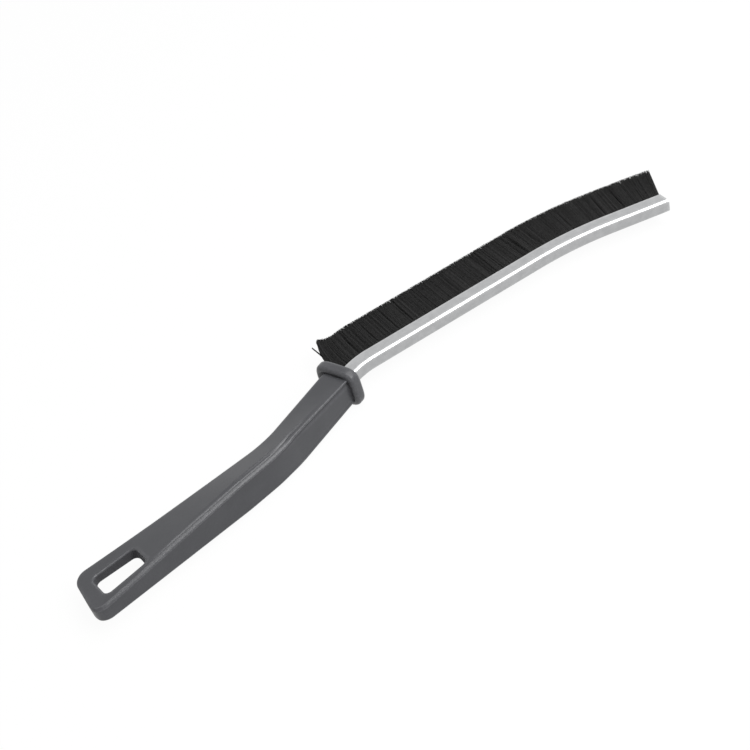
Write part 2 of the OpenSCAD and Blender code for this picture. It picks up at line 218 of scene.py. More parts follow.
STRAY_GATHER = 0.7


def along(angle):
    """Unit vectors at angles in degrees, in the plane of the brush: the cosine and the sine."""
    turn = np.radians(angle)
    return np.stack([np.cos(turn), np.sin(turn)], axis=-1)


def square_to(angle):
    """Unit vectors a quarter turn to the left of those of along()."""
    return along(np.asarray(angle) + 90.0)


def rise(value, low, high):
    """A smooth step: 0 below low, 1 above high, and 3t^2 - 2t^3 of the share t between them."""
    share = np.clip((value - low) / (high - low), 0.0, 1.0)
    return share * share * (3.0 - 2.0 * share)


class BentLine:
    """A line in the plane of the brush, given by its directions at a few lengths along it.

    Between those lengths the direction turns evenly, so each stretch is straight or an arc. A
    point is the running sum of the direction's unit vectors over short steps."""

    STEP = 0.02

    def __init__(self, lengths, angles, reach, anchor_length, anchor_point):
        self.lengths = lengths
        self.angles = angles
        self.marks = np.arange(reach[0], reach[1], self.STEP)
        middles = self.marks[:-1] + self.STEP / 2
        steps = along(self.angle(middles)) * self.STEP
        self.points = np.concatenate([[[0.0, 0.0]], np.cumsum(steps, axis=0)])
        self.points += np.asarray(anchor_point) - self.point(anchor_length)

    def angle(self, length):
        """Direction at a length, in degrees."""
        return np.interp(length, self.lengths, self.angles)

    def point(self, length):
        """Place of the line at a length."""
        x = np.interp(length, self.marks, self.points[:, 0])
        y = np.interp(length, self.marks, self.points[:, 1])
        return np.stack([x, y], axis=-1)

    def place(self, length, across, up):
        """Points at a length, square to the line by across, and up through the thickness."""
        length, across, up = np.broadcast_arrays(length, across, up)
        flat = self.point(length) + across[..., None] * square_to(self.angle(length))
        return np.concatenate([flat, up[..., None]], axis=-1)


head = BentLine(
    [-ROOT_LEN, 0.0, HEAD_STRAIGHT, BEND_END],
    [ROOT_BEND_ANGLE, 0.0, 0.0, -TIP_BEND_ANGLE],
    (-60.0, 160.0), 0.0, (0.0, 0.0))

collar_front = head.point(COLLAR_AT) + (SEAT_OFFSET - CHANNEL_H / 2) * square_to(ROOT_BEND_ANGLE)
grip = BentLine(
    [BUTT_LEN, NECK_FROM], [BUTT_ANGLE, NECK_ANGLE],
    (-10.0, HANDLE_LEN + 20.0), HANDLE_LEN + COLLAR_LEN, collar_front)

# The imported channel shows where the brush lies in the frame
channel_low, channel_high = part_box("channel")
SHIFT = np.array([
    channel_high.x / MM - head.point(TIP_END)[0],
    channel_high.y / MM,
    (channel_low.z + channel_high.z) / 2 / MM,
])


def ring_faces(rings, count):
    """Quads between rings of equal point counts, facing outwards for rings that turn from the
    plain side over the upper face to the spine as they move along the brush."""
    i, j = np.meshgrid(np.arange(rings - 1), np.arange(count), indexing="ij")
    a = i * count + j
    b = i * count + (j + 1) % count
    return np.stack([a, b, b + count, a + count], axis=-1).reshape(-1, 4)


def cap_faces(start, count, outward):
    """A flat end of a ring that is its own mirror image: a triangle at each end of the middle
    line, and quads between each pair of neighbours and their mirror images."""
    j = np.arange(1, count // 2 - 1)
    quads = start + np.stack([j, j + 1, count - j - 1, count - j], axis=-1)
    half = count // 2
    tips = start + np.array([[0, 1, count - 1], [half - 1, half, half + 1]])
    if outward:
        quads = quads[:, ::-1]
        tips = tips[:, ::-1]
    return quads, tips


def new_mesh(name, points, *face_sets):
    """A mesh from points in millimetres and arrays of faces, one row of corner numbers a face."""
    points = (np.asarray(points).reshape(-1, 3) + SHIFT) * MM
    corners = np.concatenate([f.ravel() for f in face_sets])
    sizes = np.concatenate([np.full(len(f), f.shape[1]) for f in face_sets])
    starts = np.cumsum(sizes) - sizes
    mesh = bpy.data.meshes.new(name)
    mesh.vertices.add(len(points))
    mesh.vertices.foreach_set("co", points.astype(np.float32).ravel())
    mesh.loops.add(len(corners))
    mesh.loops.foreach_set("vertex_index", corners.astype(np.int32))
    mesh.polygons.add(len(sizes))
    mesh.polygons.foreach_set("loop_start", starts.astype(np.int32))
    mesh.update(calc_edges=True)
    mesh.validate()
    return mesh


def new_object(name, mesh):
    """A new object in the scene, at the origin."""
    piece = bpy.data.objects.new(name, mesh)
    bpy.context.scene.collection.objects.link(piece)
    return piece


def shade_smooth(mesh, crease_angle):
    """Smooth shading, with a hard line wherever two faces meet at more than the crease angle."""
    mesh.polygons.foreach_set("use_smooth", np.ones(len(mesh.polygons), bool))
    mesh.set_sharp_from_angle(angle=np.radians(crease_angle))


def mark_curvature(mesh, radius):
    """Writes two point attributes, convex and hollow, from 0 to 1.

    Along each edge the bend is how far the normals part, measured along the edge and divided by
    its length squared; a point takes the mean over its edges, times the radius in millimetres
    that counts as full. What is above zero is convex and what is below is hollow. The
    materials lighten convex places as wear and painted highlight, and darken hollows as painted
    shade."""
    count = len(mesh.vertices)
    points = np.empty(count * 3, np.float32)
    normals = np.empty(count * 3, np.float32)
    ends = np.empty(len(mesh.edges) * 2, np.int32)
    mesh.vertices.foreach_get("co", points)
    mesh.vertices.foreach_get("normal", normals)
    mesh.edges.foreach_get("vertices", ends)
    points = points.reshape(-1, 3) / MM
    normals = normals.reshape(-1, 3)
    a, b = ends.reshape(-1, 2).T
    run = points[b] - points[a]
    length = np.maximum((run * run).sum(1), 1e-6)
    bend = ((normals[b] - normals[a]) * run).sum(1) / length
    total = np.bincount(a, bend, count) + np.bincount(b, bend, count)
    share = np.bincount(a, None, count) + np.bincount(b, None, count)
    mean = total / np.maximum(share, 1) * radius
    for name, value in (("convex", mean), ("hollow", -mean)):
        layer = mesh.attributes.new(name, "FLOAT", "POINT")
        layer.data.foreach_set("value", np.clip(value, 0.0, 1.0).astype(np.float32))


def finish_piece(piece, slot, material, *nodes):
    """Gives a piece its material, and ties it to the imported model."""
    piece.data.materials.clear()
    piece.data.materials.append(material)
    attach(piece, "root")
    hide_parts(*nodes)


# Handle


def corner_inset(s, r):
    """How far a round corner of radius r lies inside its square at a distance s from the end."""
    inside = np.clip(r - s, 0.0, r)
    return r - np.sqrt(r * r - inside * inside)


def grip_width(s):
    """Width of the handle: even tapers to the waist and on to the collar, and round corners."""
    taper = np.interp(s, [0.0, WAIST_AT, HANDLE_LEN], [BUTT_W, WAIST_W, NECK_W])
    return taper - 2 * corner_inset(s, BUTT_CORNER_R)


def grip_shift(s):
    """How far the middle of the width lies towards the plain side, most at the waist."""
    return WAIST_SHIFT * np.interp(s, [0.0, WAIST_AT, HANDLE_LEN], [0.0, 1.0, 0.0])


def end_share(s):
    """Share of the thickness left by the rounding of the butt end."""
    return 1.0 - 2 * corner_inset(s, END_ROUND) / BUTT_T


def grip_thick(s):
    """Thickness at the spine: it swells to the middle, then eases to the neck."""
    swell = np.interp(s, [0.0, MID_AT, WAIST_AT, HANDLE_LEN], [BUTT_T, MID_T, MID_T, NECK_T])
    return swell * end_share(s)


def edge_thick(s):
    """Thickness at the plain side, a power of the length, so that the butt is a wedge."""
    share = np.clip(s / HANDLE_LEN, 0.0, 1.0) ** EDGE_GROWTH
    return (BUTT_EDGE_T + (NECK_T - BUTT_EDGE_T) * share) * end_share(s)


def half_section(s, crease_share=1.0):
    """Half of the handle's outline at each station, as (across, up), from the middle of the plain
    side over the broad face and the bead to the middle of the spine.

    The plain side is straight and ends in an arc. From there the broad face rises evenly to the
    bead, with a crown on it: an even rise from the plain side up to a softened crest, and from
    there a steeper even fall towards the bead, highest at the elbow. The face falls by the
    groove's depth at the bead, as a power of the distance. The bead is an arc from the groove's
    floor to its top, and from there to the spine a curve flatter than an arc, like a rounded
    chamfer. Past the elbow a quarter ellipse takes the place of groove and bead. The spine is
    straight, set in by a little, with a bell-shaped crease just below the bead, which widens to
    the collar. The crease's depth is multiplied by its share."""
    s = s[:, None]
    width = grip_width(s)
    thick = grip_thick(s)
    thin = edge_thick(s)
    edge = np.minimum(EDGE_R, EDGE_SHARE * thin / 2)
    bead = np.minimum(np.minimum(BEAD_R, thick / 2 - LAND), width / 4)
    fall = np.arctan2((thick - thin) / 2, width - edge - bead)
    groove = GROOVE_DEPTH * rise(s, *GROOVE_GROWS)
    neck = rise(s, *CORNER_GROWS)
    crown = CROWN_RISE * rise(s, *CROWN_GROWS) * (1.0 - rise(s, *CROWN_FADES))
    crown_at = np.interp(s, CREST_STATIONS, CREST_FROM_SPINE) - width / 2
    crease = crease_share * (
        CREASE_DEPTH * rise(s, *CREASE_GROWS) + NECK_CREASE_DEPTH * rise(s, *NECK_CREASE_GROWS))
    crease_width = CREASE_WIDTH * (1.0 + CREASE_GROWTH * rise(s, *CREASE_WIDENS))
    dip = SPINE_DIP * rise(s, *DIP_GROWS)

    side = np.linspace(0.0, 1.0, 5)[:-1]
    side_y = np.broadcast_to(width / 2, (len(s), len(side)))
    side_z = side * (thin / 2 - edge)

    turn = np.linspace(0.0, 1.0, 9)[:-1] * (np.pi / 2 - fall)
    edge_y = width / 2 - edge + edge * np.cos(turn)
    edge_z = thin / 2 - edge + edge * np.sin(turn)

    line_y = width / 2 - edge + edge * np.sin(fall)
    line_z = thin / 2 - edge + edge * np.cos(fall)
    middle = bead - width / 2
    slope = (thick / 2 - line_z) / (line_y - middle)
    first = np.arcsin((1.0 - groove / bead) / np.sqrt(1.0 + slope * slope)) - np.arctan(slope)
    groove_y = middle + bead * np.cos(first)
    reach = (1.0 - np.linspace(0.0, 1.0, 37)[:-1]) ** TOWARDS_GROOVE
    broad_y = groove_y + (line_y - groove_y) * reach
    near = np.clip(1.0 - (broad_y - groove_y) / GROOVE_WIDTH, 0.0, 1.0)
    broad_z = line_z + (line_y - broad_y) * slope - groove * near ** GROOVE_POWER
    arc = first + (np.pi - first) * np.linspace(0.0, 1.0, 25)
    flat = np.where(arc > np.pi / 2, 2.0 / BEAD_POWER, 1.0)
    arc_y = middle + bead * np.sign(np.cos(arc)) * np.abs(np.cos(arc)) ** flat
    arc_z = thick / 2 - bead + bead * np.abs(np.sin(arc)) ** flat

    top_y = np.concatenate([broad_y, arc_y], axis=1)
    top_z = np.concatenate([broad_z, arc_z], axis=1)
    inside = np.clip(1.0 - (top_y + width / 2) / CORNER_W, 0.0, 1.0)
    drop = bead * (1.0 + slope) * (1.0 - np.sqrt(1.0 - inside * inside))
    round_z = line_z + (line_y - top_y) * slope - drop
    top_z = top_z + (round_z - top_z) * neck
    plain_way = (line_y - top_y) / (line_y - crown_at)
    bead_way = (top_y - crown_at) / CROWN_WIDTH + 1.0
    lower = np.minimum(plain_way, bead_way)
    blend = np.clip(0.5 - (plain_way - bead_way) / CREST_BLEND, 0.0, 1.0)
    lower = lower - CREST_BLEND / 2 * blend * (1.0 - blend)
    top_z = top_z + crown * np.clip(lower, 0.0, 1.0)

    low = thick / 2 - bead
    down = np.linspace(0.0, 1.0, 21)[1:] ** TOWARDS_CREASE
    spine_z = low * (1.0 - down)
    spine_y = np.broadcast_to(-width / 2, spine_z.shape)
    low_y = np.concatenate([top_y, spine_y], axis=1)
    low_z = np.concatenate([top_z, spine_z], axis=1)
    sink = CREASE_DROP * bead + CREASE_SINK * (crease_width - CREASE_WIDTH)
    off = (low_z - low + sink) / crease_width
    near_spine = np.clip(1.0 - (low_y + width / 2) / bead, 0.0, 1.0) ** 0.5
    low_y = low_y + near_spine * (crease * np.exp(-off * off) + dip * (1.0 - np.tanh(off)) / 2)
    across = np.concatenate([side_y, edge_y, low_y], axis=1) + grip_shift(s)
    up = np.concatenate([side_z, edge_z, low_z], axis=1)
    return np.stack([across, up], axis=-1)


def whole_section(s):
    """The half outline and below it its mirror image with a fainter crease, without doubling the
    two end points."""
    mirrored = half_section(s, UNDER_CREASE)[:, -2:0:-1] * np.array([1.0, -1.0])
    return np.concatenate([half_section(s), mirrored], axis=1)


def collar_outline(turn, inset):
    """Points of the collar's outline at the given turns, set in by inset.

    The reach r in the direction t solves |r cos t / a|^p + |r sin t / b|^p = 1."""
    a = COLLAR_W / 2 - inset
    b = COLLAR_T / 2 - inset
    total = np.abs(np.cos(turn) / a) ** COLLAR_POWER + np.abs(np.sin(turn) / b) ** COLLAR_POWER
    reach = total ** (-1.0 / COLLAR_POWER)
    return np.stack([reach * np.cos(turn) + COLLAR_SHIFT, reach * np.sin(turn)], axis=-1)


def handle_rings():
    """Rings of points from the butt end to the collar's front face.

    The butt's round end takes close stations, the rest even ones, and its rings are slanted so
    that the spine reaches further out. Behind the collar the neck's outline blends into the
    collar's over a slightly hollow face, and the rim is two quarter circles with a narrow flat
    between them."""
    end = BUTT_CORNER_R * (1.0 - np.cos(np.radians(np.linspace(0.0, 90.0, 19))))
    rest = np.linspace(BUTT_CORNER_R, HANDLE_LEN, 141)[1:]
    s = np.concatenate([end, rest])
    section = whole_section(s)
    body = grip.place(s[:, None], section[..., 0], section[..., 1])
    slant = np.tan(np.radians(END_SLANT)) * np.clip(1.0 - s / SLANT_LEN, 0.0, 1.0)
    slide = section[..., 0] * slant[:, None]
    body[..., :2] += slide[..., None] * along(grip.angle(s))[:, None]

    neck = section[-1]
    turn = np.arctan2(neck[:, 1], neck[:, 0])
    inner = collar_outline(turn, COLLAR_ROUND)
    rings = [body]
    for share, depth in NECK_TO_COLLAR:
        blend = neck + (inner - neck) * share
        rings.append(grip.place(HANDLE_LEN + depth, blend[:, 0], blend[:, 1])[None])
    for quarter in np.radians(np.linspace(0.0, 90.0, 10)):
        edge = collar_outline(turn, COLLAR_ROUND * (1.0 - np.sin(quarter)))
        back = HANDLE_LEN + COLLAR_ROUND * (1.0 - np.cos(quarter))
        rings.append(grip.place(back, edge[:, 0], edge[:, 1])[None])
    for quarter in np.radians(np.linspace(0.0, 90.0, 10)):
        edge = collar_outline(turn, COLLAR_ROUND * (1.0 - np.cos(quarter)))
        front = HANDLE_LEN + COLLAR_LEN - COLLAR_ROUND * (1.0 - np.sin(quarter))
        rings.append(grip.place(front, edge[:, 0], edge[:, 1])[None])
    return np.concatenate(rings)


def face_height(s, across):
    """Height of the broad face over the middle plane at a place of the butt."""
    width = grip_width(s)
    thick = grip_thick(s)
    thin = edge_thick(s)
    edge = np.minimum(EDGE_R, EDGE_SHARE * thin / 2)
    share = (width / 2 + grip_shift(s) - edge - across) / (width - edge - BEAD_R)
    return (thin + (thick - thin) * np.clip(share, 0.0, 1.0)) / 2


def slot_cutter():
    """A plug the shape of the hanging slot, which flares at both faces of the handle.

    Its outline is four arcs joined by straight sides. At each face the arcs' radius grows as a
    quarter circle of the rim's radius does, so the cut leaves a rounded rim. The heights follow
    the handle's own thickness at each point of the outline. Past the faces the plug goes on
    straight, so that it leaves no skin."""
    centres = np.array([
        [SLOT_R, SLOT_W_BUTT / 2 - SLOT_R],
        [SLOT_R, SLOT_R - SLOT_W_BUTT / 2],
        [SLOT_LEN - SLOT_R, SLOT_R - SLOT_W_FAR / 2],
        [SLOT_LEN - SLOT_R, SLOT_W_FAR / 2 - SLOT_R],
    ])
    turns = np.linspace(0.0, 90.0, 10)
    arrows = np.concatenate([along(90.0 + 90.0 * k + turns) for k in range(4)])
    middle = np.repeat(centres, len(turns), axis=0)
    outline = middle + SLOT_R * arrows
    face = face_height(SLOT_MARGIN + outline[:, 0], outline[:, 1] - SLOT_OFFSET)
    levels = []
    for flare in np.radians(np.linspace(0.0, SLOT_RIM_TURN, 10)):
        below = SLOT_RIM_R * (1.0 - np.sin(flare))
        levels.append((face - below, SLOT_RIM_R * (1.0 - np.cos(flare))))
    mouth = levels[-1][1] + SLOT_RIM_OVER * np.tan(flare)
    levels += [(face + SLOT_RIM_OVER, mouth), (np.full(len(face), MID_T), mouth)]
    levels = [(-z, grow) for z, grow in levels[::-1]] + levels
    rings = []
    for z, grow in levels:
        spot = outline + grow * arrows
        rings.append(grip.place(SLOT_MARGIN + spot[:, 0], spot[:, 1] - SLOT_OFFSET, z))
    return np.stack(rings)


def channel_line(width, height, fold):
    """One side of the strip as (height over the lips, across): lip, fold, back, fold, lip."""
    turn = np.radians(np.linspace(90.0, 180.0, 11))
    near_h = fold + fold * np.cos(turn) - height
    near_w = width / 2 - fold + fold * np.sin(turn)
    near = np.stack([near_h, near_w], axis=-1)
    far = near[::-1] * np.array([1.0, -1.0])
    return np.concatenate([[[0.0, width / 2]], near, far, [[0.0, -width / 2]]])


def socket_cutter():
    """A plug the shape of the channel's tail and its clearance, from inside the neck to past the
    collar's front face, as rings along the last straight stretch."""
    line = channel_line(
        CHANNEL_W + 2 * SOCKET_CLEAR, CHANNEL_H + 2 * SOCKET_CLEAR, CHANNEL_FOLD_R + SOCKET_CLEAR)
    depth = TAIL_DEPTH + SOCKET_CLEAR
    ends = np.array([COLLAR_AT - depth, COLLAR_AT + SOCKET_OVER])
    return head.place(ends[:, None], line[:, 0] + SOCKET_CLEAR, line[:, 1])


def closed_rings(name, rings):
    """A closed mesh from rings: quads between them, and one face of many corners at each end."""
    count = rings.shape[1]
    first = np.arange(count)[None, ::-1]
    last = (rings.shape[0] - 1) * count + np.arange(count)[None]
    return new_mesh(name, rings, ring_faces(rings.shape[0], count), first, last)


def cut(piece, cutter):
    """Takes the cutter's shape out of the piece, and removes the cutter."""
    tool = new_object("cutter", cutter)
    step = piece.modifiers.new("cut", "BOOLEAN")
    step.operation = "DIFFERENCE"
    step.solver = "EXACT"
    step.object = tool
    graph = bpy.context.evaluated_depsgraph_get()
    made = bpy.data.meshes.new_from_object(piece.evaluated_get(graph))
    piece.modifiers.clear()
    old = piece.data
    piece.data = made
    bpy.data.meshes.remove(old)
    bpy.data.objects.remove(tool)
    bpy.data.meshes.remove(cutter)


def mark_slot_wall(mesh):
    """Sets the hollow attribute to 1 on the slot's inner wall, which lies between the rims: the wall
    takes the hollows' deep colour and roughness, as painted shade.
    """
    count = len(mesh.vertices)
    points = np.empty(count * 3, np.float32)
    hollow = np.empty(count, np.float32)
    mesh.vertices.foreach_get("co", points)
    layer = mesh.attributes["hollow"]
    layer.data.foreach_get("value", hollow)
    points = points.reshape(-1, 3) / MM - SHIFT
    start = grip.point(SLOT_MARGIN) - SLOT_OFFSET * square_to(BUTT_ANGLE)
    ahead = (points[:, :2] - start) @ along(BUTT_ANGLE)
    across = (points[:, :2] - start) @ square_to(BUTT_ANGLE)
    face = face_height(SLOT_MARGIN + ahead, across - SLOT_OFFSET)
    inside = np.abs(ahead - SLOT_LEN / 2) < SLOT_LEN / 2 + SLOT_RIM_OVER
    inside &= np.abs(across) < SLOT_W_BUTT / 2 + SLOT_RIM_OVER
    wall = inside & (np.abs(points[:, 2]) < face - SLOT_WALL_SHARE * SLOT_RIM_R)
    layer.data.foreach_set("value", np.where(wall, 1.0, hollow).astype(np.float32))


def make_handle():
    """The moulding from its rings, with the hanging slot and the socket cut out of it."""
    rings = handle_rings()
    count = rings.shape[1]
    last = (rings.shape[0] - 1) * count
    mesh = new_mesh(
        "handle", rings, ring_faces(rings.shape[0], count),
        *cap_faces(0, count, True), *cap_faces(last, count, False))
    piece = new_object("moulded_handle", mesh)
    cut(piece, closed_rings("slot_plug", slot_cutter()))
    cut(piece, closed_rings("socket_plug", socket_cutter()))
    shade_smooth(piece.data, HANDLE_CREASE_ANGLE)
    mark_curvature(piece.data, HANDLE_CURVE_R)
    # painted shade on the slot's inner wall
    mark_slot_wall(piece.data)
    return piece


# Channel


def channel_profile():
    """The strip's closed outline as (height, across): the outer line with a half-round lip at
    each end, and the inner line back. Returns the outer and the inner line, of equal counts."""
    lines = []
    half = CHANNEL_WALL / 2
    for sign, inset in ((1.0, 0.0), (-1.0, CHANNEL_WALL)):
        width = CHANNEL_W - 2 * inset
        line = channel_line(width, CHANNEL_H - inset, CHANNEL_FOLD_R - inset)
        turn = np.radians(np.linspace(90.0, 0.0, 7)[1:])
        lip_h = half * np.sin(turn) - half
        lip_w = CHANNEL_W / 2 - half + sign * half * np.cos(turn)
        lip = np.stack([lip_h, lip_w], axis=-1)
        middle = line[1:-1]
        down = np.linspace(0.0, 1.0, 6)[1:-1, None]
        near = lip[-1] + (middle[0] - lip[-1]) * down
        start = np.concatenate([lip, near])
        lines.append(np.concatenate([start, middle, (start * [1, -1])[::-1]]))
    return lines


def make_channel():
    """Carries the strip's outline along the head line, with close stations in the two bends.

    At the tip the back reaches further than the lips, in proportion to its depth, and a
    bell-shaped notch dents the fold on the upper side."""
    outer, inner = channel_profile()
    count = len(outer)
    s = np.concatenate([
        np.linspace(COLLAR_AT - TAIL_DEPTH, -ROOT_LEN, 12)[:-1],
        np.linspace(-ROOT_LEN, 0.0, 25)[:-1],
        np.linspace(0.0, HEAD_STRAIGHT, 28)[:-1],
        np.linspace(HEAD_STRAIGHT, BEND_END, 37)[:-1],
        np.linspace(BEND_END, TIP_END, 22),
    ])
    loop = np.concatenate([outer, inner[::-1]])
    above = loop[:, 0] + CHANNEL_H - END_NOTCH_UP
    beside = loop[:, 1] - END_NOTCH_ASIDE
    nick = np.exp(-((above ** 2 + beside ** 2) / END_NOTCH_SPREAD))
    near_end = rise(s, TIP_END - END_STRETCH, TIP_END)[:, None]
    stations = s[:, None] - near_end * (END_NOTCH * nick + END_LEAN * loop[:, 0])
    points = head.place(stations, loop[:, 0], loop[:, 1])
    total = 2 * count
    j = np.arange(count - 1)
    strip = np.stack([j, j + 1, total - 2 - j, total - 1 - j], axis=-1)
    sides = ring_faces(len(s), total)
    last = (len(s) - 1) * total
    mesh = new_mesh("channel", points, sides, strip[:, ::-1], strip + last)
    lengths = np.broadcast_to(s[:, None], (len(s), total)) * MM
    step = np.linalg.norm(np.diff(loop, axis=0, prepend=loop[:1]), axis=1)
    around = np.broadcast_to(np.cumsum(step) * MM, (len(s), total))
    for name, value in (("along", lengths), ("around", around)):
        layer = mesh.attributes.new(name, "FLOAT", "POINT")
        layer.data.foreach_set("value", np.ascontiguousarray(value, np.float32).ravel())
    shade_smooth(mesh, CHANNEL_CREASE_ANGLE)
    mark_curvature(mesh, CHANNEL_CURVE_R)
    return new_object("folded_channel", mesh)


# Filaments


def trim_height(s):
    """Height over the lips at which the filaments are cut, at lengths s: a level line over the
    small bend with a tuft at the collar and a slight dip behind it, then lower towards the tip."""
    near = s - FIELD_START
    corner = TUFT_CORNER * np.clip(1.0 - near / TUFT_CORNER_LEN, 0.0, 1.0) ** 2
    tuft = TUFT_RISE * rise(TUFT_LEN - near, 0.0, TUFT_LEN) - corner
    dip = DIP_DEPTH * np.exp(-((near - DIP_AT) / DIP_LEN) ** 2)
    level = BRISTLE_H - np.minimum(head.point(s)[:, 1], 0.0) + tuft - dip
    share = np.clip((s - HEAD_STRAIGHT) / (TIP_END - HEAD_STRAIGHT), 0.0, 1.0)
    return np.where(s < HEAD_STRAIGHT, level, BRISTLE_H + (TIP_BRISTLE_H - BRISTLE_H) * share)


def ripple(s, rng, lengths):
    """A steady wander along the brush between about -1 and 1: the mean of sines of the given
    wavelengths in millimetres, each with its own start."""
    waves = [np.sin(2 * np.pi * s / length + rng.uniform(0.0, 2 * np.pi)) for length in lengths]
    return np.mean(waves, axis=0)


def make_filaments(material):
    """All filaments of the field, one piece a section.

    Each filament is a thin three-sided tube. Its root sits in a jittered grid between the
    channel's walls. Its line leaves the lips square to them; over the small bend it curves back
    to upright, as a parabola, and near the tip it leans forward. On the way up it wanders with
    its neighbours, and sinks into a narrow parting at a few places. A few filaments of the first
    two rows stand apart from the rest."""
    rng = np.random.default_rng(SEED)
    row, column = np.meshgrid(np.arange(ROWS * SECTIONS), np.arange(COLUMNS), indexing="ij")
    row = row.ravel()
    column = column.ravel()
    count = len(row)
    s = FIELD_START + FIELD_LEN * (row + rng.uniform(*IN_CELL, count)) / (ROWS * SECTIONS)
    z = PACK_W * ((column + rng.uniform(*IN_CELL, count)) / COLUMNS - 0.5)
    drift = DRIFT * ripple(s + 0.5 * z, rng, DRIFT_WAVES)
    aside = ASIDE * ripple(s, rng, ASIDE_WAVES)
    top_side = np.clip(z / PACK_W + 0.5, 0.0, 1.0)
    parting = np.zeros(count)
    for spot in PARTINGS:
        off = (s + PARTING_SLANT * z - spot) / rng.uniform(*PARTING_WIDTHS)
        parting = parting - rng.uniform(*PARTING_SHARES) * top_side * np.exp(-off * off)

    angle = head.angle(s)
    flare = TIP_FLARE * np.clip(1.0 - (FIELD_END - s) / TIP_FLARE_LEN, 0.0, 1.0) ** 2
    turn = np.where(s < 0.0, 0.0, -angle + flare)
    height = trim_height(s) + rng.normal(0.0, UNEVEN, count)
    height = height + TRIM_WAVE * ripple(s, rng, TRIM_WAVES)
    share = np.linspace(0.0, 1.0, RINGS)[:, None]
    h = (height + ROOT_DEPTH) * share - ROOT_DEPTH
    out = np.maximum(h, 0.0)
    bend = ROOT_BULGE * np.tan(np.radians(angle)) * out * (out / UPRIGHT_AT - 1.0)
    bulge = np.where(s < 0.0, bend, 0.0)
    apart = (row < STRAY_ROWS) & (np.abs(z - STRAY_AT) < STRAY_HALF_W)
    bulge = np.where(apart, -STRAY_REACH * (out / height) ** 3, bulge)
    rise_share = (out / height) ** SWAY_POWER
    sway = (drift + rng.normal(0.0, OWN_DRIFT, count)) * rise_share
    aside = (SPREAD * z + aside + rng.normal(0.0, OWN_ASIDE, count)) * rise_share
    aside = aside + PARTING_DEPTH * parting * (out / height) * (1.0 - out / height)
    aside = np.where(apart, (STRAY_AT - z) * STRAY_GATHER * rise_share, aside)

    root = head.place(s[None], np.minimum(h, 0.0), z + aside)
    lean = np.radians(turn)
    upright = np.stack([np.sin(lean), np.cos(lean), np.zeros(count)], axis=-1)
    forward = np.stack([np.cos(lean), -np.sin(lean), np.zeros(count)], axis=-1)
    sideways = np.array([0.0, 0.0, 1.0])
    line = root + out[..., None] * upright + (bulge + sway)[..., None] * forward
    spin = rng.uniform(0.0, 2 * np.pi, count)
    radius = FILAMENT_R * (1.0 - TIP_THINS * share) * rng.uniform(*RADIUS_SHARES, count)
    corners = []
    for k in range(3):
        a = spin + k * 2 * np.pi / 3
        spoke = np.cos(a)[:, None] * forward + np.sin(a)[:, None] * sideways
        corners.append(line + radius[..., None] * spoke)
    tubes = np.stack(corners, axis=2).transpose(1, 0, 2, 3)
    tone = rng.uniform(0.0, 1.0, count)

    quads = ring_faces(RINGS, 3)[:, ::-1]
    top = np.array([[3 * RINGS - 1, 3 * RINGS - 2, 3 * RINGS - 3]])
    for number in range(SECTIONS):
        mine = np.flatnonzero(row // ROWS == number)
        base = (np.arange(len(mine)) * 3 * RINGS)[:, None, None]
        sides = (base + quads).reshape(-1, 4)
        tips = (base + top).reshape(-1, 3)
        mesh = new_mesh(f"filaments_{number + 1}", tubes[mine], sides, tips)
        layer = mesh.attributes.new("tone", "FLOAT", "POINT")
        layer.data.foreach_set("value", np.repeat(tone[mine], 3 * RINGS).astype(np.float32))
        mesh.polygons.foreach_set("use_smooth", np.ones(len(mesh.polygons), bool))
        piece = new_object(f"filament_section_{number + 1}", mesh)
        finish_piece(piece, "filament", material, f"bristles_{number + 1}")


# Materials

# Scales of the noises are per metre of the frame; the cloudiness has a share of the grain's
# the noise breaks up the rubbed wear and painted highlight on convex edges
WEAR_HIGHLIGHT_NOISE_SCALE = 900.0
CLOUD_SHARE = 0.06
HOLLOW_ROUGHNESS = 0.95


def add(tree, kind, inputs=None, **settings):
    """A new node with its settings; inputs are values, or output sockets to link from."""
    made = tree.nodes.new(kind)
    for name, value in settings.items():
        setattr(made, name, value)
    for name, value in (inputs or {}).items():
        socket = made.inputs[name]
        if isinstance(value, bpy.types.NodeSocket):
            tree.links.new(value, socket)
        else:
            socket.default_value = value
    return made


def new_group(name, inputs, outputs):
    """An empty node group with named sockets, and its input and output nodes."""
    tree = bpy.data.node_groups.new(name, "ShaderNodeTree")
    for label, kind, value in inputs:
        socket = tree.interface.new_socket(label, in_out="INPUT", socket_type=kind)
        if value is not None:
            socket.default_value = value
    for label, kind in outputs:
        tree.interface.new_socket(label, in_out="OUTPUT", socket_type=kind)
    return tree, tree.nodes.new("NodeGroupInput"), tree.nodes.new("NodeGroupOutput")


def mottle_group():
    """Slow variation between two colours."""
    tree, given, made = new_group(
        "mottle",
        [("Vector", "NodeSocketVector", None), ("Scale", "NodeSocketFloat", 60.0),
         ("Dark", "NodeSocketColor", (0, 0, 0, 1)), ("Light", "NodeSocketColor", (1, 1, 1, 1))],
        [("Color", "NodeSocketColor")])
    noise = add(tree, "ShaderNodeTexNoise", {
        "Vector": given.outputs["Vector"], "Scale": given.outputs["Scale"],
        "Detail": 4.0, "Roughness": 0.6})
    spread = add(tree, "ShaderNodeMapRange", {
        "Value": noise.outputs["Fac"], "From Min": 0.32, "From Max": 0.68})
    mix = add(tree, "ShaderNodeMix", {
        "Factor": spread.outputs["Result"], "A": given.outputs["Dark"],
        "B": given.outputs["Light"]}, data_type="RGBA")
    tree.links.new(mix.outputs["Result"], made.inputs["Color"])


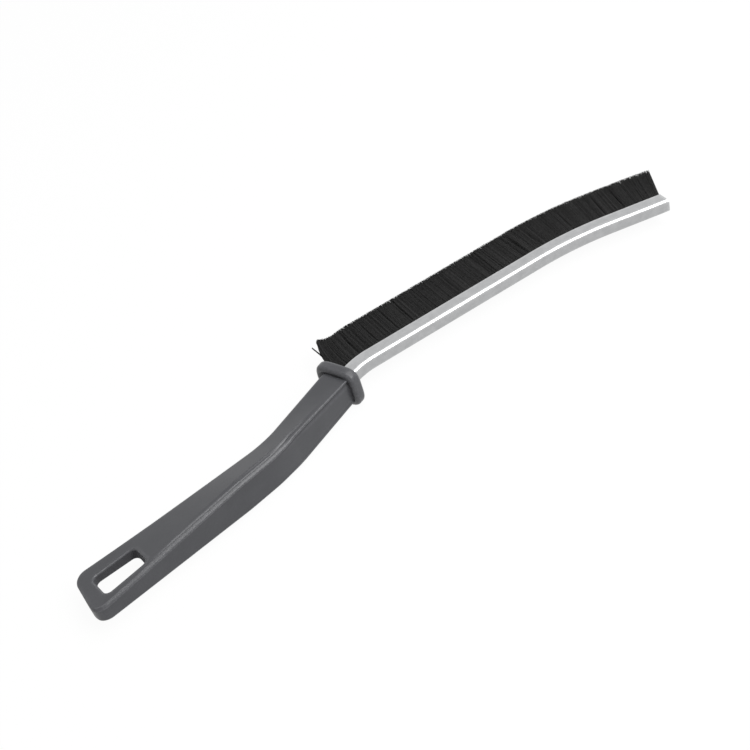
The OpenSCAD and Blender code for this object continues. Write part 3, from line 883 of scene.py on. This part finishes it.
def wear_highlight_shade_group():
    """Lightens a colour on convex edges where a rough noise lets it, as rubbed wear and a painted
    highlight, and darkens its hollows with a painted shade.
    """
    tree, given, made = new_group(
        "edge_wear_highlight_shade",
        [("Vector", "NodeSocketVector", None), ("Color", "NodeSocketColor", (0, 0, 0, 1)),
         ("Worn_Highlight", "NodeSocketColor", (1, 1, 1, 1)), ("Deep", "NodeSocketColor", (0, 0, 0, 1)),
         ("Amount", "NodeSocketFloat", 0.5)],
        [("Color", "NodeSocketColor")])
    # convex edges turn to the worn colour: rubbed wear and a painted highlight
    convex = add(tree, "ShaderNodeAttribute", attribute_name="convex")
    hollow = add(tree, "ShaderNodeAttribute", attribute_name="hollow")
    noise = add(tree, "ShaderNodeTexNoise", {
        "Vector": given.outputs["Vector"], "Scale": WEAR_HIGHLIGHT_NOISE_SCALE, "Detail": 3.0})
    broken = add(tree, "ShaderNodeMapRange", {
        "Value": noise.outputs["Fac"], "From Min": 0.35, "From Max": 0.65, "To Min": 0.35})
    edge = add(tree, "ShaderNodeMath", {0: convex.outputs["Fac"], 1: broken.outputs["Result"]},
               operation="MULTIPLY")
    share = add(tree, "ShaderNodeMath", {0: edge.outputs[0], 1: given.outputs["Amount"]},
                operation="MULTIPLY")
    lit = add(tree, "ShaderNodeMix", {
        "Factor": share.outputs[0], "A": given.outputs["Color"],
        "B": given.outputs["Worn_Highlight"]}, data_type="RGBA")
    # hollows turn to the deep colour: painted shade
    deep = add(tree, "ShaderNodeMix", {
        "Factor": hollow.outputs["Fac"], "A": lit.outputs["Result"],
        "B": given.outputs["Deep"]}, data_type="RGBA")
    tree.links.new(deep.outputs["Result"], made.inputs["Color"])


def grain_group():
    """Fine moulded or rolled grain as a height, and a slower value for the roughness."""
    tree, given, made = new_group(
        "grain",
        [("Vector", "NodeSocketVector", None), ("Scale", "NodeSocketFloat", 2500.0),
         ("Low", "NodeSocketFloat", 0.4), ("High", "NodeSocketFloat", 0.5)],
        [("Height", "NodeSocketFloat"), ("Roughness", "NodeSocketFloat")])
    fine = add(tree, "ShaderNodeTexNoise", {
        "Vector": given.outputs["Vector"], "Scale": given.outputs["Scale"], "Detail": 3.0})
    slow_scale = add(tree, "ShaderNodeMath", {0: given.outputs["Scale"], 1: CLOUD_SHARE},
                     operation="MULTIPLY")
    slow = add(tree, "ShaderNodeTexNoise", {
        "Vector": given.outputs["Vector"], "Scale": slow_scale.outputs[0], "Detail": 4.0})
    rough = add(tree, "ShaderNodeMapRange", {
        "Value": slow.outputs["Fac"], "From Min": 0.3, "From Max": 0.7,
        "To Min": given.outputs["Low"], "To Max": given.outputs["High"]})
    tree.links.new(fine.outputs["Fac"], made.inputs["Height"])
    tree.links.new(rough.outputs["Result"], made.inputs["Roughness"])


def use_group(tree, name, inputs):
    """A node that stands for one of the groups above, with its values and links."""
    return add(tree, "ShaderNodeGroup", inputs, node_tree=bpy.data.node_groups[name])


def new_material(name):
    """A material with its node tree and its one shader."""
    material = bpy.data.materials.new(name)
    material.use_nodes = True
    tree = material.node_tree
    return material, tree, tree.nodes["Principled BSDF"]


def connect(tree, shader, **sources):
    """Links sources to the shader's inputs; an underscore in a name stands for a space."""
    for name, source in sources.items():
        tree.links.new(source, shader.inputs[name.replace("_", " ")])


def handle_plastic():
    """Satin dark grey moulded plastic: slow mottle, fine grain, edges rubbed lighter with a painted
    highlight, and hollows and the slot wall in a deep colour as painted shade.
    """
    material, tree, shader = new_material("dark_grey_moulding")
    here = add(tree, "ShaderNodeTexCoord").outputs["Object"]
    tone = use_group(tree, "mottle", {
        "Vector": here, "Scale": 70.0,
        "Dark": (0.044, 0.045, 0.0497, 1), "Light": (0.0535, 0.0545, 0.060, 1)})
    # lighter convex edges are rubbed wear and painted highlight; the deep colour in hollows is
    # painted shade
    worn_highlit = use_group(tree, "edge_wear_highlight_shade", {
        "Vector": here, "Color": tone.outputs["Color"],
        "Worn_Highlight": (0.17, 0.17, 0.18, 1), "Deep": (0.06, 0.06, 0.065, 1), "Amount": 0.45})
    grain = use_group(tree, "grain", {"Vector": here, "Low": 0.29, "High": 0.35})
    hollow = add(tree, "ShaderNodeAttribute", attribute_name="hollow")
    dull = add(tree, "ShaderNodeMix", {
        "Factor": hollow.outputs["Fac"], "A": grain.outputs["Roughness"],
        "B": HOLLOW_ROUGHNESS},
        data_type="FLOAT")
    bump = add(tree, "ShaderNodeBump", {
        "Height": grain.outputs["Height"], "Strength": 0.05, "Distance": 0.00005})
    shader.inputs["Specular IOR Level"].default_value = 0.36
    connect(tree, shader, Base_Color=worn_highlit.outputs["Color"],
            Roughness=dull.outputs["Result"], Normal=bump.outputs["Normal"])
    return material


def rolled_steel():
    """Bright rolled strip: fine lines along its length, a slow cloudiness, folds lighter as wear
    with a painted highlight, and hollows such as the tip's notch darker as painted shade.
    """
    material, tree, shader = new_material("bright_rolled_strip")
    along_strip = add(tree, "ShaderNodeAttribute", attribute_name="along")
    around = add(tree, "ShaderNodeAttribute", attribute_name="around")
    lay = add(tree, "ShaderNodeCombineXYZ", {
        "X": along_strip.outputs["Fac"], "Y": around.outputs["Fac"]})
    drawn = add(tree, "ShaderNodeMapping", {
        "Vector": lay.outputs["Vector"], "Scale": (0.02, 1.0, 1.0)})
    grain = use_group(tree, "grain", {
        "Vector": drawn.outputs["Vector"], "Scale": 9000.0, "Low": 0.29, "High": 0.35})
    tone = use_group(tree, "mottle", {
        "Vector": lay.outputs["Vector"], "Scale": 260.0,
        "Dark": (0.39, 0.395, 0.40, 1), "Light": (0.46, 0.465, 0.47, 1)})
    # folds lighter as wear and painted highlight; hollows, such as the notch at the tip, darker as
    # painted shade
    worn_highlit = use_group(tree, "edge_wear_highlight_shade", {
        "Vector": lay.outputs["Vector"], "Color": tone.outputs["Color"],
        "Worn_Highlight": (0.82, 0.82, 0.82, 1), "Deep": (0.25, 0.25, 0.25, 1), "Amount": 0.6})
    bump = add(tree, "ShaderNodeBump", {
        "Height": grain.outputs["Height"], "Strength": 0.15, "Distance": 0.00003})
    shader.inputs["Metallic"].default_value = 1.0
    connect(tree, shader, Base_Color=worn_highlit.outputs["Color"],
            Roughness=grain.outputs["Roughness"], Normal=bump.outputs["Normal"])
    return material


def drawn_wire():
    """Dull drawn wire, with die lines."""
    material, tree, shader = new_material("drawn_wire")
    place = add(tree, "ShaderNodeTexCoord")
    lines = add(tree, "ShaderNodeMapping", {
        "Vector": place.outputs["Object"], "Scale": (0.05, 1.0, 1.0)})
    grain = use_group(tree, "grain", {
        "Vector": lines.outputs["Vector"], "Scale": 6000.0, "Low": 0.35, "High": 0.5})
    tone = use_group(tree, "mottle", {
        "Vector": lines.outputs["Vector"], "Scale": 300.0,
        "Dark": (0.34, 0.34, 0.35, 1), "Light": (0.46, 0.46, 0.47, 1)})
    bump = add(tree, "ShaderNodeBump", {
        "Height": grain.outputs["Height"], "Strength": 0.2, "Distance": 0.00003})
    shader.inputs["Metallic"].default_value = 1.0
    connect(tree, shader, Base_Color=tone.outputs["Color"],
            Roughness=grain.outputs["Roughness"], Normal=bump.outputs["Normal"])
    return material


def black_filament():
    """Dull black filament: each one has its own tone, and a fine grain along the brush."""
    material, tree, shader = new_material("black_filament")
    place = add(tree, "ShaderNodeTexCoord")
    own = add(tree, "ShaderNodeAttribute", attribute_name="tone")
    grain = use_group(tree, "grain", {
        "Vector": place.outputs["Object"], "Scale": 1800.0, "Low": 0.6, "High": 0.75})
    mix = add(tree, "ShaderNodeMix", {
        "Factor": own.outputs["Fac"], "A": (0.0165, 0.0165, 0.0167, 1),
        "B": (0.0230, 0.0228, 0.0226, 1)}, data_type="RGBA")
    shader.inputs["Specular IOR Level"].default_value = 0.2
    connect(tree, shader, Base_Color=mix.outputs["Result"], Roughness=grain.outputs["Roughness"])
    return material


# Stage

FLOOR_SIDE = 3000.0
FLOOR_GAP = 0.05
FLOOR_PLAIN_SHARE = 0.95
WORLD_STRENGTH = 0.35
CAMERA_TARGET = (-3.76, -12.04, 0.0)
CAMERA_DISTANCE = 488.5
CAMERA_AZIMUTH = 19.8
CAMERA_ELEVATION = 41.5
CAMERA_ROLL = -17.58
CAMERA_LENS = 60.86
LAMP_DISTANCE = 1200.0


def seen_directly(tree):
    """1 for rays that come from the camera, or through or off a glossy surface, else 0."""
    path = add(tree, "ShaderNodeLightPath")
    glossy = add(tree, "ShaderNodeMath", {
        0: path.outputs["Is Camera Ray"], 1: path.outputs["Is Glossy Ray"]}, operation="MAXIMUM")
    both = add(tree, "ShaderNodeMath", {
        0: glossy.outputs[0], 1: path.outputs["Is Transmission Ray"]}, operation="MAXIMUM")
    return both.outputs[0]


def make_floor():
    """A wide pale sheet under the brush. Seen directly it is mostly plain white, and the rest of
    it is lit, which keeps a soft shadow."""
    half = FLOOR_SIDE / 2
    low = -SHIFT[2] - FLOOR_GAP
    flat = half * np.array([[-1, -1], [1, -1], [1, 1], [-1, 1]])
    corners = np.concatenate([flat, np.full((4, 1), low)], axis=1)
    floor = new_object("floor", new_mesh("floor", corners, np.array([[0, 1, 2, 3]])))
    material, tree, shader = new_material("pale_floor")
    shader.inputs["Base Color"].default_value = (0.9, 0.9, 0.9, 1)
    shader.inputs["Roughness"].default_value = 0.9
    shader.inputs["Specular IOR Level"].default_value = 0.0
    glow = add(tree, "ShaderNodeEmission", {"Color": (1, 1, 1, 1), "Strength": 1.0})
    share = add(tree, "ShaderNodeMath", {0: seen_directly(tree), 1: FLOOR_PLAIN_SHARE},
                operation="MULTIPLY")
    mix = add(tree, "ShaderNodeMixShader", {
        0: share.outputs[0], 1: shader.outputs["BSDF"], 2: glow.outputs["Emission"]})
    tree.links.new(mix.outputs["Shader"], tree.nodes["Material Output"].inputs["Surface"])
    floor.data.materials.append(material)


def make_world():
    """Even pale light from all round, seen directly as plain white."""
    world = bpy.data.worlds.new("pale_room")
    bpy.context.scene.world = world
    world.use_nodes = True
    tree = world.node_tree
    tree.nodes.clear()
    lit = add(tree, "ShaderNodeBackground", {"Color": (1, 1, 1, 1), "Strength": WORLD_STRENGTH})
    seen = add(tree, "ShaderNodeBackground", {"Color": (1, 1, 1, 1), "Strength": 1.0})
    mix = add(tree, "ShaderNodeMixShader", {
        0: seen_directly(tree), 1: lit.outputs[0], 2: seen.outputs[0]})
    output = add(tree, "ShaderNodeOutputWorld")
    tree.links.new(mix.outputs["Shader"], output.inputs["Surface"])


def looking(azimuth, elevation, roll):
    """The three axes of a camera or lamp that looks down at an elevation, from an azimuth turned
    from +Y towards +X, rolled about its line of sight: its right, its up and its back."""
    a, e, r = np.radians([azimuth, elevation, roll])
    ahead = np.array([np.sin(a) * np.cos(e), np.cos(a) * np.cos(e), -np.sin(e)])
    level = np.array([np.cos(a), -np.sin(a), 0.0])
    upright = np.cross(level, ahead)
    right = np.cos(r) * level + np.sin(r) * upright
    up = np.cos(r) * upright - np.sin(r) * level
    return right, up, -ahead


def aim(thing, target, distance, azimuth, elevation, roll=0.0):
    """Puts a camera or lamp at a distance in millimetres from a target of the working plane."""
    right, up, back = looking(azimuth, elevation, roll)
    spot = (np.array(target) + SHIFT + distance * back) * MM
    axes = np.stack([right, up, back, spot], axis=1)
    thing.matrix_world = Matrix([*axes.tolist(), [0, 0, 0, 1]])


def make_camera():
    """The photograph's view point and lens, fitted to points measured on it."""
    data = bpy.data.cameras.new("camera")
    data.sensor_width = 36.0
    data.lens = CAMERA_LENS
    data.clip_start = 0.01
    data.clip_end = 20.0
    camera = new_object("camera", data)
    aim(camera, CAMERA_TARGET, CAMERA_DISTANCE, CAMERA_AZIMUTH, CAMERA_ELEVATION, CAMERA_ROLL)
    bpy.context.scene.camera = camera


def make_lamp(name, power, side, azimuth, elevation):
    """A square softbox that shines on the middle of the brush."""
    data = bpy.data.lights.new(name, "AREA")
    data.shape = "RECTANGLE"
    data.size = side * MM
    data.size_y = side * MM
    data.energy = power
    aim(new_object(name, data), CAMERA_TARGET, LAMP_DISTANCE, azimuth, elevation)


for build_group in (mottle_group, wear_highlight_shade_group, grain_group):
    build_group()

make_camera()
make_world()
make_floor()
make_lamp("key_softbox", 7.5, 850.0, -92.0, 72.0)
make_lamp("front_softbox", 10.5, 680.0, -37.0, 47.0)

finish_piece(make_handle(), "handle_plastic", handle_plastic(), "handle")
finish_piece(make_channel(), "channel_metal", rolled_steel(), "channel")
make_filaments(black_filament())

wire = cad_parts["core_wire"]
wire.data.materials.clear()
wire.data.materials.append(drawn_wire())

bpy.context.scene.view_settings.view_transform = "Standard"
